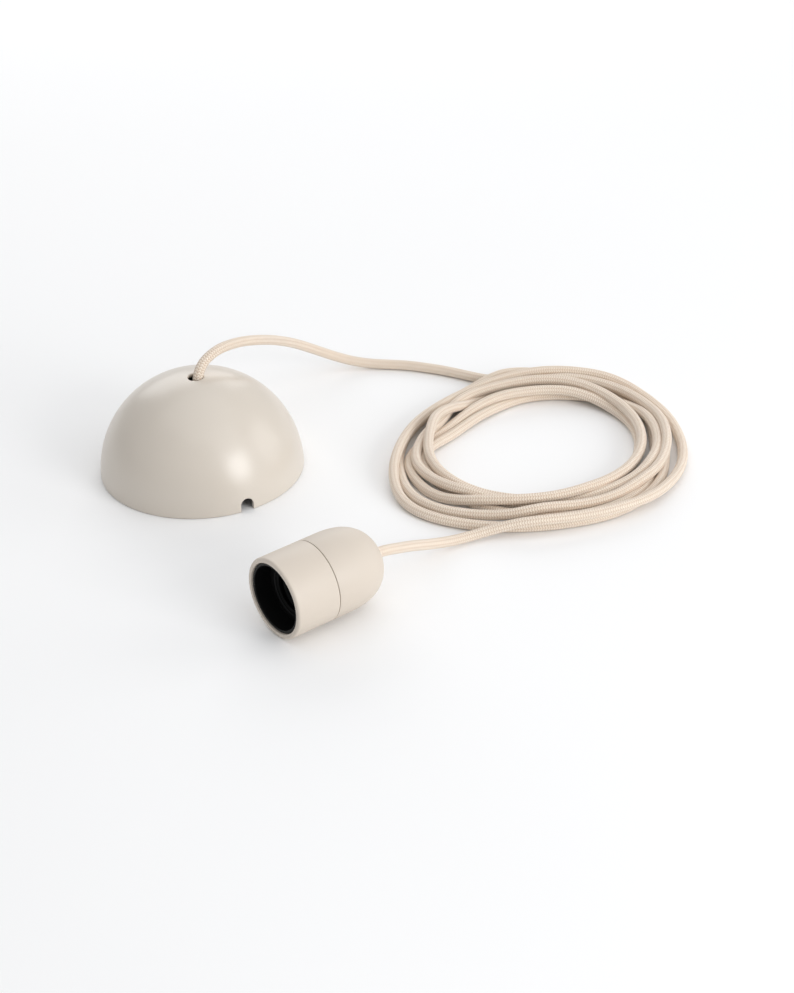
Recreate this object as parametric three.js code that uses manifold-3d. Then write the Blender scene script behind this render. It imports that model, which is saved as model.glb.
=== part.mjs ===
// A pendant cord set, in millimetres, as it lies on a table:
// a hemispherical ceiling canopy standing on its rim, a textile cord that comes out of the
// canopy's pole and lies in a loose coil, and a two-piece bulb holder on its side at the cord's end.
// The origin is the centre of the canopy's base, on the ceiling plane. +Z goes up through the pole,
// and +X runs along the holder's axis from its mouth to its cord end.

import * as THREE from 'three';
import { mergeVertices } from 'three/addons/utils/BufferGeometryUtils.js';
import Module from 'manifold-3d';

const wasm = await Module();
wasm.setup();

// Clearance between pieces that seat on or in each other
const FIT = 0.3;

// Cord
const CORD_DIAMETER = 6;
const WIRE_DIAMETER = 2.2;
const WIRE_SPREAD = 1.4;

// Canopy
const CANOPY_RADIUS = 60;
const CANOPY_WALL = 2;
const CANOPY_RIM_ROUND = 0.5;
const CANOPY_HOLE = CORD_DIAMETER + 3;
const NOTCH_WIDTH = 8;
const NOTCH_HEIGHT = 7.8;
const NOTCH_ANGLE = -98.7;
const BEAD_HEIGHT = 8;
const BEAD_WIDTH = 3.2;
const BEAD_DEPTH = 1.1;

// Mounting strap, the sprung steel strip that is screwed to the ceiling and grips the canopy
const STRAP_THICKNESS = 1.5;
const STRAP_WIDTH = 18;
const STRAP_FLAT = 45;
const STRAP_BEND = 2.5;
const STRAP_KNEE_HEIGHT = 6;
const STRAP_GRIP_HEIGHT = 13.5;
const STRAP_TIP_HEIGHT = 20;
const STRAP_TIP_INSET = 5;
const SLOT_SPACING = 60;
const SLOT_LENGTH = 14;
const SLOT_WIDTH = 5.2;

// Grip bracket, the bridge that stands on the strap and carries the cord grip
const BRACKET_THICKNESS = 1.5;
const BRACKET_WIDTH = 16;
const BRACKET_HEIGHT = 31;
const BRACKET_SPAN = 28;
const BRACKET_FOOT = 7.5;
const BRACKET_BEND = 2;
const BRACKET_SCREW_SHANK = 3;
const BRACKET_SCREW_HEAD = 5.6;
const BRACKET_SCREW_HEAD_HEIGHT = 2;

// Cord grip, a turned nylon bush with a nut and a side screw
const GRIP_HEAD_RADIUS = 8;
const GRIP_HEAD_HEIGHT = 9;
const GRIP_SHANK_RADIUS = 4.8;
const GRIP_SHANK_BELOW = 6;
const GRIP_NUT_FLATS = 14;
const GRIP_NUT_HEIGHT = 3;
const GRIP_SCREW_DIAMETER = 3.4;
const GRIP_SCREW_LENGTH = 6;
const SHEATH_BELOW_GRIP = 1.5;

// Terminal block, two poles side by side
const BLOCK_POLE_PITCH = 9;
const BLOCK_DEPTH = 16;
const BLOCK_HEIGHT = 13;
const BLOCK_TOWER_WIDTH = 7.6;
const BLOCK_WEB_HEIGHT = 4.5;
const BLOCK_OFFSET = 4.5;
const TUBE_AXIS_HEIGHT = 5.6;
const TUBE_DIAMETER = 4.6;
const TUBE_BORE = 3.2;
const TUBE_LENGTH = 13;
const TERMINAL_SCREW_SPACING = 7.4;
const TERMINAL_SCREW_SHANK = 2;
const TERMINAL_SCREW_HEAD = 3.6;
const TERMINAL_SCREW_HEAD_HEIGHT = 2;
const BLOCK_SCREW_SHANK = 2.4;
const BLOCK_SCREW_HEAD = 4.4;
const BLOCK_SCREW_HEAD_HEIGHT = 1.8;

// Bulb holder: distances along its axis are measured from its mouth
const HOLDER_RADIUS = 23;
const HOLDER_LENGTH = 66.6;
const HOLDER_MOUTH = [-71.2, -172.7];
const HOLDER_SEAM = 27;
const HOLDER_SEAM_GAP = 0.3;
const SEAM_CHAMFER = 0.25;
const MOUTH_ROUND = 1;
const MOUTH_INNER_ROUND = 0.5;
const SLEEVE_WALL = 3;
const SLEEVE_BORE_RADIUS = HOLDER_RADIUS - SLEEVE_WALL;
const CAP_CURVE_START = 38.1;
const CAP_CURVE_POWER = 2.47;
const CAP_WALL = 2.5;
const CAP_HOLE_RADIUS = CORD_DIAMETER / 2 + 0.5;

// Liner, the black tube in the holder, and the threaded ring in it
const LINER_RECESS = 1.15;
const LINER_LIP_ROUND = 0.4;
const LINER_WALL = 1.6;
const LINER_SHOULDER_RADIUS = 15.2;
const LINER_END = 34;
const RING_FRONT = 11;
const RING_END = 28;
const RING_MOUTH_RADIUS = 14.9;
const THREAD_START = 12.4;
const THREAD_END = 26.4;
const THREAD_PITCH = 3.629;
const THREAD_CREST_RADIUS = 12.35;
const THREAD_ROOT_RADIUS = 13.45;
const THREAD_FADE = 1.8;

// Contact block, behind the threaded ring
const BLOCK_NOSE_FRONT = RING_END + FIT;
const BLOCK_FLANGE_RADIUS = SLEEVE_BORE_RADIUS - FIT;
const BLOCK_FLANGE_END = 39.5;
const CONTACT_THICKNESS = 0.6;
const CONTACT_WIDTH = 5;
const CENTRE_CONTACT_OFFSET = 7;
const CENTRE_CONTACT_TIP = 24.6;
const SIDE_CONTACT_OFFSET = 11;
const SIDE_CONTACT_TIP = 24;
const CONTACT_TAB_LENGTH = 6;
const CONTACT_SCREW_SHANK = 2.6;
const CONTACT_SCREW_HEAD = 4.6;
const CONTACT_SCREW_HEAD_HEIGHT = 2.4;
const CONTACT_SCREW_LENGTH = 5;

// Cord lock, the collar that holds the cap on the cord
const LOCK_RADIUS = 8;
const LOCK_LENGTH = 7;
const LOCK_SCREW_DIAMETER = 3.4;
const LOCK_SCREW_LENGTH = 4.2;
const SHEATH_PAST_LOCK = 3;

// Loose coil of the cord: an oval ring of the turns' outer shape
const COIL_CENTRE = [157, -117];
const COIL_OUTER = 97;
const COIL_INNER = 55;
const COIL_HEIGHT = 14;
const COIL_SQUASH = 0.94;
const COIL_TURN = -37;
const COIL_CORNER = 5;

// Route of the cord from the canopy's hole over and down to the table and in under the coil,
// starting a little above the canopy's pole
const CANOPY_LEAD_RISE = 0.5;
const CANOPY_LEAD = [
  [0.9, 0.2, 60.5], [2.3, 0.4, 62.6], [5.1, 0.9, 65.7], [8.6, 1.5, 68.2], [12.4, 2.1, 70],
  [17.2, 2.9, 71.1], [26, 4.6, 70.7], [35.5, 6.5, 68.3], [44.6, 9, 64.9], [52.7, 12.6, 61],
  [66, 22.3, 52.8], [78, 31.8, 44.7], [89.5, 39.2, 37.2], [101.4, 44.5, 29.6],
  [113.4, 46.5, 21.8], [124.9, 45.2, 14.3], [135.7, 40.7, 8.1], [146.3, 33.8, 4.4],
  [156.7, 24.8, 3.1], [166.2, 14.3, 3], [174.2, 2.8, 3], [180.7, -9, 3], [186.5, -21.3, 3],
  [191.9, -34, 3], [196.4, -47, 3],
];

// Route of the cord from the holder's cap down to the table and up on to the coil, with its
// first distance measured from the cap's end and its second from the holder's axis
const HOLDER_LEAD = [
  [0.3, 0, 23], [4.1, 0, 22.8], [8.6, 0.2, 22], [18.1, 1.1, 18.7], [27.4, 2.4, 15.1],
  [35.4, 3.7, 11.8], [42.4, 4.9, 9], [48.4, 5.8, 6.8], [53.9, 6.2, 5.3], [58.9, 6.1, 4.3],
  [63.6, 5.6, 3.6], [68.1, 4.7, 3.2], [72.4, 3.5, 3.2], [76.3, 2.2, 3.6], [80, 0.8, 4.3],
  [83.7, -1.1, 5.3], [87.8, -3.7, 6.7], [92.3, -7.2, 8],
];

// Facets round a full turn, and along rounded edges
const CANOPY_FACETS = 44;
const HOLDER_FACETS = 32;
const SMALL_FACETS = 12;
const CORD_FACETS = 8;
const WIRE_FACETS = 8;
const COIL_FACETS = 32;
const FREE_CORD_STEP = 8;
const ARC_STEPS = 3;

const paint = (color, roughness, metalness = 0) =>
  new THREE.MeshStandardMaterial({ color, roughness, metalness });

const FINISH = {
  shell: paint(0xd6cdc1, 0.45),
  black: paint(0x0c0c0c, 0.35),
  textile: paint(0xe3d8c8, 0.85),
  steel: paint(0xb9babb, 0.35, 1),
  brass: paint(0xc9a558, 0.3, 1),
  nylon: paint(0xe9e6de, 0.5),
  white: paint(0xf0efe9, 0.4),
  brown: paint(0x5a3420, 0.5),
  blue: paint(0x2a64a8, 0.5),
};

const radians = THREE.MathUtils.degToRad;
const point = (x, y) => new THREE.Vector2(x, y);

// Merges shared vertices, drops triangles that a pole flattened, and turns the faces outwards
function closed(geometry) {
  const bare = geometry.clone();
  bare.deleteAttribute('normal');
  bare.deleteAttribute('uv');
  const merged = mergeVertices(bare, 1e-4);
  const kept = [];
  const index = merged.index.array;
  for (let i = 0; i < index.length; i += 3) {
    const [a, b, c] = [index[i], index[i + 1], index[i + 2]];
    if (a !== b && b !== c && c !== a) kept.push(a, b, c);
  }
  if (signedVolume(merged.attributes.position, kept) < 0) {
    for (let i = 0; i < kept.length; i += 3) [kept[i + 1], kept[i + 2]] = [kept[i + 2], kept[i + 1]];
  }
  merged.setIndex(kept);
  return merged;
}

function signedVolume(position, index) {
  const [a, b, c] = [new THREE.Vector3(), new THREE.Vector3(), new THREE.Vector3()];
  let sum = 0;
  for (let i = 0; i < index.length; i += 3) {
    a.fromBufferAttribute(position, index[i]);
    b.fromBufferAttribute(position, index[i + 1]);
    c.fromBufferAttribute(position, index[i + 2]);
    sum += a.dot(b.cross(c));
  }
  return sum / 6;
}

function solid(geometry) {
  const body = closed(geometry);
  return new wasm.Manifold(new wasm.Mesh({
    numProp: 3,
    vertProperties: new Float32Array(body.attributes.position.array),
    triVerts: new Uint32Array(body.index.array),
  }));
}

function geometryOf(manifold) {
  const mesh = manifold.getMesh();
  const geometry = new THREE.BufferGeometry();
  geometry.setAttribute('position', new THREE.BufferAttribute(mesh.vertProperties, 3));
  geometry.setIndex(new THREE.BufferAttribute(mesh.triVerts, 1));
  return geometry;
}

function cut(geometry, ...tools) {
  return geometryOf(tools.reduce((body, tool) => body.subtract(solid(tool)), solid(geometry)));
}

// Turns a profile of [radius, height] points round the Z axis
function turned(profile, facets = SMALL_FACETS, closeProfile = true) {
  const points = profile.map(([r, z]) => point(r, z));
  if (closeProfile) points.push(points[0].clone());
  return closed(new THREE.LatheGeometry(points, facets).rotateX(Math.PI / 2));
}

// A turned solid whose profile starts and ends on the axis
const turnedSolid = (profile, facets) => turned(profile, facets, false);

// A round bar or drill along Z from one height to another
function bar(radius, from, to, facets = SMALL_FACETS) {
  return turnedSolid([[0, from], [radius, from], [radius, to], [0, to]], facets);
}

// Points of an arc round [r, z], from one angle to another, both in degrees
function arc(r, z, radius, from, to, steps = ARC_STEPS) {
  return Array.from({ length: steps + 1 }, (_, i) => {
    const angle = radians(from + (to - from) * i / steps);
    return [r + radius * Math.cos(angle), z + radius * Math.sin(angle)];
  });
}

function block(width, depth, height) {
  return new THREE.BoxGeometry(width, depth, height).translate(0, 0, height / 2);
}

// Extrudes a shape drawn in X and Z along Y, centred on Y = 0
function extrudedAcross(shape, width) {
  return new THREE.ExtrudeGeometry(shape, { depth: width, bevelEnabled: false })
    .rotateX(Math.PI / 2)
    .translate(0, width / 2, 0);
}

// A slot with round ends, along X, cut or standing along Z
function slotBar(length, width, from, to) {
  const shape = new THREE.Shape();
  const half = (length - width) / 2;
  shape.absarc(half, 0, width / 2, -Math.PI / 2, Math.PI / 2);
  shape.absarc(-half, 0, width / 2, Math.PI / 2, Math.PI * 1.5);
  return new THREE.ExtrudeGeometry(shape, { depth: to - from, bevelEnabled: false, curveSegments: 6 })
    .translate(0, 0, from);
}

// The middle line of a bent strip, with each inner corner replaced by an arc of its bend radius
function bentLine(corners, bendRadius) {
  const line = [corners[0]];
  for (let i = 1; i < corners.length - 1; i++) {
    const before = corners[i - 1].clone().sub(corners[i]).normalize();
    const after = corners[i + 1].clone().sub(corners[i]).normalize();
    const half = Math.acos(THREE.MathUtils.clamp(before.dot(after), -1, 1)) / 2;
    const reach = bendRadius / Math.tan(half);
    const centre = before.clone().add(after).normalize()
      .multiplyScalar(bendRadius / Math.sin(half)).add(corners[i]);
    const start = before.multiplyScalar(reach).add(corners[i]).sub(centre);
    const end = after.multiplyScalar(reach).add(corners[i]).sub(centre);
    const turn = Math.atan2(start.x * end.y - start.y * end.x, start.dot(end));
    const steps = Math.max(2, Math.ceil(Math.abs(turn) / radians(30)));
    for (let k = 0; k <= steps; k++) {
      line.push(start.clone().rotateAround(point(0, 0), turn * k / steps).add(centre));
    }
  }
  line.push(corners[corners.length - 1]);
  return line;
}

// The outline of a strip of one thickness that follows a line
function stripShape(line, thickness) {
  const sides = [[], []];
  line.forEach((here, i) => {
    const back = i > 0 ? here.clone().sub(line[i - 1]).normalize() : null;
    const on = i < line.length - 1 ? line[i + 1].clone().sub(here).normalize() : null;
    const along = (back && on) ? back.clone().add(on).normalize() : (back ?? on);
    const across = point(-along.y, along.x);
    const stretch = 1 / (on ?? back).dot(along);
    sides[0].push(here.clone().addScaledVector(across, thickness / 2 * stretch));
    sides[1].unshift(here.clone().addScaledVector(across, -thickness / 2 * stretch));
  });
  return new THREE.Shape([...sides[0], ...sides[1]]);
}

// A strip bent along corners drawn in X and Z, with its width along Y
function bentStrip(corners, bendRadius, thickness, width) {
  return extrudedAcross(stripShape(bentLine(corners, bendRadius), thickness), width);
}

// A round tube along a smooth curve through the given points
function along(points, diameter, stepLength, facets = CORD_FACETS) {
  const path = new THREE.CatmullRomCurve3(points.map((p) => new THREE.Vector3(...p)));
  const section = new THREE.Shape(Array.from({ length: facets }, (_, i) => {
    const angle = (i + 0.5) / facets * Math.PI * 2;
    return point(Math.cos(angle) * diameter / 2, Math.sin(angle) * diameter / 2);
  }));
  const steps = Math.max(2, Math.round(path.getLength() / stepLength));
  return closed(new THREE.ExtrudeGeometry(section, { steps, bevelEnabled: false, extrudePath: path }));
}

// A pan-head screw that stands on Z = 0 with its shank going down, with a slot or a cross in its head
function screw(headDiameter, headHeight, shankDiameter, length, cross = false) {
  const head = headDiameter / 2;
  const shank = shankDiameter / 2;
  const body = turnedSolid([
    [0, -length], [shank * 0.7, -length], [shank, -length + shank * 0.4], [shank, 0], [head, 0],
    [head, headHeight * 0.5], [head * 0.8, headHeight * 0.9], [head * 0.4, headHeight],
    [0, headHeight],
  ]);
  const slotWidth = headDiameter * 0.18;
  const slotDepth = headHeight * 0.5;
  const slotLength = cross ? headDiameter * 0.6 : headDiameter * 1.2;
  const slot = block(slotLength, slotWidth, headHeight).translate(0, 0, headHeight - slotDepth);
  return cross ? cut(body, slot, slot.clone().rotateZ(Math.PI / 2)) : cut(body, slot);
}

// A headless screw along +Z from 0, with a screwdriver slot in its outer end
function grubScrew(diameter, length) {
  const radius = diameter / 2;
  const body = turnedSolid([
    [0, 0], [radius * 0.6, 0], [radius, radius * 0.4], [radius, length], [0, length],
  ]);
  return cut(body, block(diameter * 1.2, diameter * 0.2, length).translate(0, 0, length * 0.75));
}

function piece(name, geometry, finish) {
  const mesh = new THREE.Mesh(closed(geometry), finish);
  mesh.name = name;
  return mesh;
}

// Canopy: a moulded half ball with a hole at the pole, an arched notch for a surface cable
// and a low bead round its inside that the strap's legs snap over

function canopyDome() {
  const outer = CANOPY_RADIUS;
  const inner = CANOPY_RADIUS - CANOPY_WALL;
  const hole = CANOPY_HOLE / 2;
  const poleOuter = 90 - THREE.MathUtils.radToDeg(Math.asin(hole / outer));
  const poleInner = 90 - THREE.MathUtils.radToDeg(Math.asin(hole / inner));
  const rimAngle = THREE.MathUtils.radToDeg(CANOPY_RIM_ROUND / outer);
  const beadLow = BEAD_HEIGHT - BEAD_WIDTH / 2;
  const beadTop = BEAD_HEIGHT + BEAD_WIDTH / 2;
  const wallAt = (z) => Math.sqrt(inner * inner - z * z);
  const topAngle = THREE.MathUtils.radToDeg(Math.asin(beadTop / inner));
  const profile = [
    [outer - CANOPY_RIM_ROUND, 0],
    ...arc(0, 0, outer, rimAngle * 1.2, poleOuter, 12),
    ...arc(0, 0, inner, poleInner, topAngle, 9),
    [wallAt(BEAD_HEIGHT) - BEAD_DEPTH, BEAD_HEIGHT],
    [wallAt(beadLow), beadLow],
    [inner, 0],
  ];
  const notch = new THREE.Shape();
  const half = NOTCH_WIDTH / 2;
  notch.moveTo(-half, -1);
  notch.lineTo(half, -1);
  notch.absarc(0, NOTCH_HEIGHT - half, half, 0, Math.PI);
  const cutter = new THREE.ExtrudeGeometry(notch, { depth: 20, bevelEnabled: false, curveSegments: 6 })
    .rotateX(Math.PI / 2)
    .translate(0, outer + 6, 0)
    .rotateZ(radians(NOTCH_ANGLE - 90));
  return cut(turned(profile, CANOPY_FACETS), cutter);
}

// How far out a strip of some width may reach at a height before its corners meet the canopy's wall
function wallReach(height, width) {
  const inner = CANOPY_RADIUS - CANOPY_WALL;
  const radius = Math.sqrt(inner * inner - height * height) - FIT;
  return Math.sqrt(radius * radius - (width / 2) ** 2);
}

function mountingStrap() {
  const half = STRAP_THICKNESS / 2;
  const gripX = wallReach(STRAP_GRIP_HEIGHT + half, STRAP_WIDTH) - half * 0.3;
  const right = [
    point(STRAP_FLAT, half),
    point(STRAP_FLAT + 1, STRAP_KNEE_HEIGHT),
    point(gripX, STRAP_GRIP_HEIGHT),
    point(gripX - STRAP_TIP_INSET, STRAP_TIP_HEIGHT),
  ];
  const left = right.map((p) => point(-p.x, p.y)).reverse();
  const strip = bentStrip([...left, ...right], STRAP_BEND, STRAP_THICKNESS, STRAP_WIDTH);
  const slots = [-1, 1].map((side) =>
    slotBar(SLOT_LENGTH, SLOT_WIDTH, -1, STRAP_THICKNESS + 1).translate(side * SLOT_SPACING / 2, 0, 0));
  const screwHoles = bracketScrewPlaces().map((x) =>
    bar(BRACKET_SCREW_SHANK / 2 + FIT, -1, STRAP_THICKNESS + 1).translate(x, 0, 0));
  const blockHole = bar(BLOCK_SCREW_SHANK / 2 + FIT, -1, STRAP_THICKNESS + 1)
    .translate(0, BLOCK_OFFSET, 0);
  return cut(strip, ...slots, ...screwHoles, blockHole);
}

// Grip bracket

const bracketFloor = STRAP_THICKNESS + FIT;
const bracketTop = bracketFloor + BRACKET_HEIGHT;

function bracketScrewPlaces() {
  const x = BRACKET_SPAN / 2 + BRACKET_FOOT / 2 - 0.5;
  return [-x, x];
}

function gripBracket() {
  const half = BRACKET_THICKNESS / 2;
  const legX = BRACKET_SPAN / 2 - BRACKET_THICKNESS;
  const right = [
    point(legX, bracketTop - half),
    point(legX, bracketFloor + half),
    point(legX + BRACKET_FOOT, bracketFloor + half),
  ];
  const left = right.map((p) => point(-p.x, p.y)).reverse();
  const strip = bentStrip([...left, ...right], BRACKET_BEND, BRACKET_THICKNESS, BRACKET_WIDTH);
  const screwHoles = bracketScrewPlaces().map((x) =>
    bar(BRACKET_SCREW_SHANK / 2 + FIT, 0, bracketFloor + BRACKET_THICKNESS + 1).translate(x, 0, 0));
  const gripHole = bar(GRIP_SHANK_RADIUS + FIT, bracketTop - 5, bracketTop + 1, 24);
  return cut(strip, ...screwHoles, gripHole);
}

function bracketScrew(x) {
  const seat = bracketFloor + BRACKET_THICKNESS + FIT;
  return screw(BRACKET_SCREW_HEAD, BRACKET_SCREW_HEAD_HEIGHT, BRACKET_SCREW_SHANK, seat - FIT, true)
    .translate(x, 0, seat);
}

// Cord grip in the bracket's top

const gripSeat = bracketTop + FIT;
const gripBottom = bracketTop - BRACKET_THICKNESS - GRIP_SHANK_BELOW;
const gripBore = CORD_DIAMETER / 2 + FIT;

function cordGrip() {
  const chamfer = 0.8;
  const top = gripSeat + GRIP_HEAD_HEIGHT;
  const body = turned([
    [gripBore, gripBottom], [GRIP_SHANK_RADIUS, gripBottom], [GRIP_SHANK_RADIUS, gripSeat],
    [GRIP_HEAD_RADIUS, gripSeat], [GRIP_HEAD_RADIUS, top - chamfer],
    [GRIP_HEAD_RADIUS - chamfer, top], [gripBore + chamfer, top], [gripBore, top - chamfer],
  ], 24);
  const hole = bar(GRIP_SCREW_DIAMETER / 2 + FIT, 0, GRIP_HEAD_RADIUS + 1)
    .rotateY(Math.PI / 2).translate(0, 0, gripSeat + GRIP_HEAD_HEIGHT / 2);
  return cut(body, hole);
}

function gripNut() {
  const across = GRIP_NUT_FLATS / 2 / Math.cos(Math.PI / 6);
  const top = bracketTop - BRACKET_THICKNESS - FIT;
  const hex = turnedSolid(
    [[0, top - GRIP_NUT_HEIGHT], [across, top - GRIP_NUT_HEIGHT], [across, top], [0, top]], 6);
  return cut(hex, bar(GRIP_SHANK_RADIUS + FIT, top - GRIP_NUT_HEIGHT - 1, top + 1, 24));
}

function gripScrew() {
  return grubScrew(GRIP_SCREW_DIAMETER, GRIP_SCREW_LENGTH)
    .rotateY(Math.PI / 2)
    .translate(CORD_DIAMETER / 2 + FIT, 0, gripSeat + GRIP_HEAD_HEIGHT / 2);
}

// Terminal block on the strap, under the bracket

const blockFloor = STRAP_THICKNESS + FIT;
const tubeAxis = blockFloor + TUBE_AXIS_HEIGHT;
const poles = [-BLOCK_POLE_PITCH / 2, BLOCK_POLE_PITCH / 2];
const screwRows = [-TERMINAL_SCREW_SPACING / 2, TERMINAL_SCREW_SPACING / 2];

function terminalBlock() {
  const width = BLOCK_POLE_PITCH + BLOCK_TOWER_WIDTH;
  const chamfer = 1;
  const half = width / 2;
  const valley = BLOCK_POLE_PITCH / 2 - BLOCK_TOWER_WIDTH / 2;
  const outline = [
    [-half, 0], [half, 0], [half, BLOCK_HEIGHT - chamfer], [half - chamfer, BLOCK_HEIGHT],
    [valley + chamfer / 2, BLOCK_HEIGHT], [valley, BLOCK_HEIGHT - chamfer],
    [valley, BLOCK_WEB_HEIGHT], [-valley, BLOCK_WEB_HEIGHT], [-valley, BLOCK_HEIGHT - chamfer],
    [-valley - chamfer / 2, BLOCK_HEIGHT], [-half + chamfer, BLOCK_HEIGHT],
    [-half, BLOCK_HEIGHT - chamfer],
  ];
  const shape = new THREE.Shape(outline.map(([x, z]) => point(x, z)));
  const body = extrudedAcross(shape, BLOCK_DEPTH);
  const tunnel = bar(TUBE_DIAMETER / 2 + FIT, -BLOCK_DEPTH, BLOCK_DEPTH).rotateX(Math.PI / 2);
  const well = bar(TERMINAL_SCREW_HEAD / 2 + FIT, TUBE_AXIS_HEIGHT, BLOCK_HEIGHT + 1);
  const tools = poles.flatMap((x) => [
    tunnel.clone().translate(x, 0, TUBE_AXIS_HEIGHT),
    ...screwRows.map((y) => well.clone().translate(x, y, 0)),
  ]);
  const fixing = bar(BLOCK_SCREW_SHANK / 2 + FIT, -1, BLOCK_WEB_HEIGHT + 1);
  const sink = bar(BLOCK_SCREW_HEAD / 2 + FIT, blockScrewSeat(), BLOCK_HEIGHT + 1);
  return cut(body, ...tools, fixing, sink).translate(0, BLOCK_OFFSET, blockFloor);
}

const blockScrewSeat = () => BLOCK_WEB_HEIGHT - 1;

function blockScrew() {
  const seat = blockFloor + blockScrewSeat() + FIT;
  return screw(BLOCK_SCREW_HEAD, BLOCK_SCREW_HEAD_HEIGHT, BLOCK_SCREW_SHANK, seat - FIT)
    .translate(0, BLOCK_OFFSET, seat);
}

function terminalTube(x) {
  const half = TUBE_LENGTH / 2;
  const wall = turned([
    [TUBE_BORE / 2, -half], [TUBE_DIAMETER / 2, -half], [TUBE_DIAMETER / 2, half],
    [TUBE_BORE / 2, half],
  ]).rotateX(Math.PI / 2);
  const taps = screwRows.map((y) =>
    bar(TERMINAL_SCREW_SHANK / 2 + FIT, 0, TUBE_DIAMETER).translate(0, y, 0));
  return cut(wall, ...taps).translate(x, BLOCK_OFFSET, tubeAxis);
}

function terminalScrew(x, y) {
  const seat = tubeAxis + TUBE_DIAMETER / 2 + FIT;
  const tip = tubeAxis + WIRE_DIAMETER / 2 + FIT;
  return screw(TERMINAL_SCREW_HEAD, TERMINAL_SCREW_HEAD_HEIGHT, TERMINAL_SCREW_SHANK, seat - tip)
    .translate(x, BLOCK_OFFSET + y, seat);
}

// The cord's end inside the canopy, from the pole's hole down through the grip, and its two wires

const sheathEnd = gripBottom - SHEATH_BELOW_GRIP;

// The free cord's route, raised or lowered so that it starts at the canopy's pole
function canopyRoute() {
  const start = CANOPY_LEAD[0][2];
  const lift = CANOPY_RADIUS + CANOPY_LEAD_RISE - start;
  return CANOPY_LEAD.map(([x, y, z]) => [x, y, z + lift * z / start]);
}

function canopyCordEnd() {
  const [start, next] = canopyRoute().map((p) => new THREE.Vector3(...p));
  const lean = next.sub(start).normalize();
  const top = start.clone().addScaledVector(lean, -1.5 * FIT);
  const below = top.clone().addScaledVector(lean, -4);
  const gripTop = gripSeat + GRIP_HEAD_HEIGHT;
  return along([
    [0, 0, sheathEnd], [0, 0, gripSeat], [0, 0, gripTop - 2], [0, 0, gripTop],
    [below.x * 1.2, below.y, (gripTop + below.z) / 2], below.toArray(), top.toArray(),
  ], CORD_DIAMETER, 3);
}

function canopyWire(x) {
  const side = Math.sign(x);
  const mouth = BLOCK_OFFSET - BLOCK_DEPTH / 2;
  const reach = BLOCK_OFFSET - TERMINAL_SCREW_SPACING / 2 + 1;
  return along([
    [side * WIRE_SPREAD, 0, sheathEnd - 2 * FIT], [side * WIRE_SPREAD, -0.4, sheathEnd - 2],
    [side * (WIRE_SPREAD + 0.7), mouth + 0.5, blockFloor + BLOCK_HEIGHT + 2.6],
    [x - side * 0.4, mouth - 3.2, tubeAxis + 6], [x, mouth - 2.9, tubeAxis + 2],
    [x, mouth - 0.2, tubeAxis], [x, mouth + 2, tubeAxis], [x, reach, tubeAxis],
  ], WIRE_DIAMETER, 2, WIRE_FACETS);
}

// Bulb holder, modelled standing on its mouth with its axis on Z and laid on its side at the end

// Points of the cap's curve from its start to the cord hole, spaced evenly round the bend
function capCurve(radius, depth, steps) {
  const power = CAP_CURVE_POWER;
  const holeAngle = Math.asin((CAP_HOLE_RADIUS / radius) ** (power / 2));
  return Array.from({ length: steps + 1 }, (_, i) => {
    const angle = Math.PI / 2 + (holeAngle - Math.PI / 2) * i / steps;
    return [radius * Math.sin(angle) ** (2 / power),
      CAP_CURVE_START + depth * Math.cos(angle) ** (2 / power)];
  });
}

function holderSleeve() {
  const end = HOLDER_SEAM - HOLDER_SEAM_GAP / 2;
  const inner = SLEEVE_BORE_RADIUS;
  return turned([
    ...arc(inner + MOUTH_INNER_ROUND, MOUTH_INNER_ROUND, MOUTH_INNER_ROUND, 180, 270, 2),
    ...arc(HOLDER_RADIUS - MOUTH_ROUND, MOUTH_ROUND, MOUTH_ROUND, -90, 0, 4),
    [HOLDER_RADIUS, end - SEAM_CHAMFER], [HOLDER_RADIUS - SEAM_CHAMFER, end], [inner, end],
  ], HOLDER_FACETS);
}

function holderCap() {
  const start = HOLDER_SEAM + HOLDER_SEAM_GAP / 2;
  const outerDepth = HOLDER_LENGTH - CAP_CURVE_START;
  const innerRadius = HOLDER_RADIUS - CAP_WALL;
  return turned([
    [SLEEVE_BORE_RADIUS, start], [HOLDER_RADIUS - SEAM_CHAMFER, start],
    [HOLDER_RADIUS, start + SEAM_CHAMFER],
    ...capCurve(HOLDER_RADIUS, outerDepth, 9),
    ...capCurve(innerRadius, outerDepth - CAP_WALL, 6).reverse(),
    [innerRadius, LINER_END + 1.5], [SLEEVE_BORE_RADIUS, LINER_END + 1],
  ], HOLDER_FACETS);
}

const linerRadius = SLEEVE_BORE_RADIUS - FIT;
const linerBore = linerRadius - LINER_WALL;

function holderLiner() {
  const shelf = RING_END + FIT;
  return turned([
    ...arc(linerBore + LINER_LIP_ROUND, LINER_RECESS + LINER_LIP_ROUND, LINER_LIP_ROUND, 180, 270, 1),
    ...arc(linerRadius - LINER_LIP_ROUND, LINER_RECESS + LINER_LIP_ROUND, LINER_LIP_ROUND, -90, 0, 2),
    [linerRadius, LINER_END], [LINER_SHOULDER_RADIUS, LINER_END],
    [LINER_SHOULDER_RADIUS, shelf], [linerBore, shelf],
  ], HOLDER_FACETS);
}

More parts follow.
